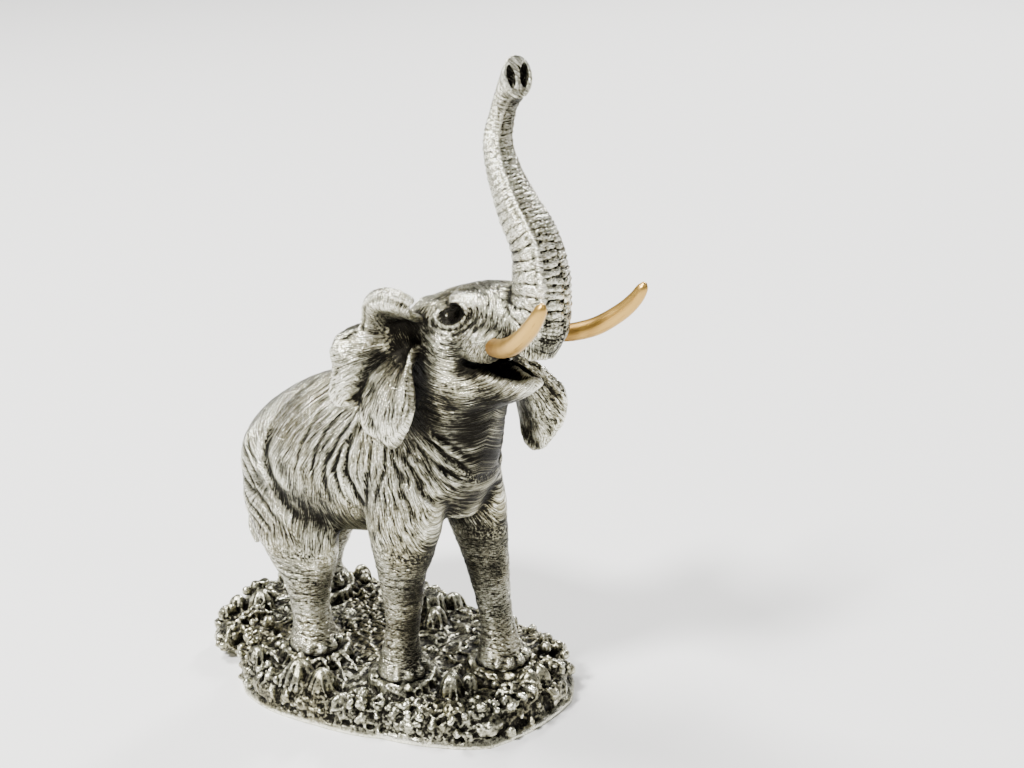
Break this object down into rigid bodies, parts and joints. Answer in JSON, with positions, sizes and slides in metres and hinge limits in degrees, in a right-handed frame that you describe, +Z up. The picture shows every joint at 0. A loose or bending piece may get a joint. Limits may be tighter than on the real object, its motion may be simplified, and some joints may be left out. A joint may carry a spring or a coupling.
{
  "type": "elephant statuette",
  "caption": "Striding elephant statuette with its trunk raised, antique silver finish, inset gold-toned tusks, on a rough oval ground base.",
  "frame": {"origin": "on the flat underside of the ground base, on the elephant's own middle plane and below its forelegs", "axes": "+Z up, the elephant faces -Y, its left side is +X"},
  "size_m": [0.1163, 0.2132, 0.2932],
  "materials": {
    "antique_silver": "warm antique silver rubbed over near-black in the creases, satin",
    "dark_silver": "darkened antique silver with bright rubbed edges, satin",
    "antique_gold": "soft antique gold, satin"
  },
  "bodies": {
    "root": {"elephant": "antique_silver", "ground_base": "dark_silver", "tusk_left": "antique_gold", "tusk_right": "antique_gold"}
  },
  "joints": []
}
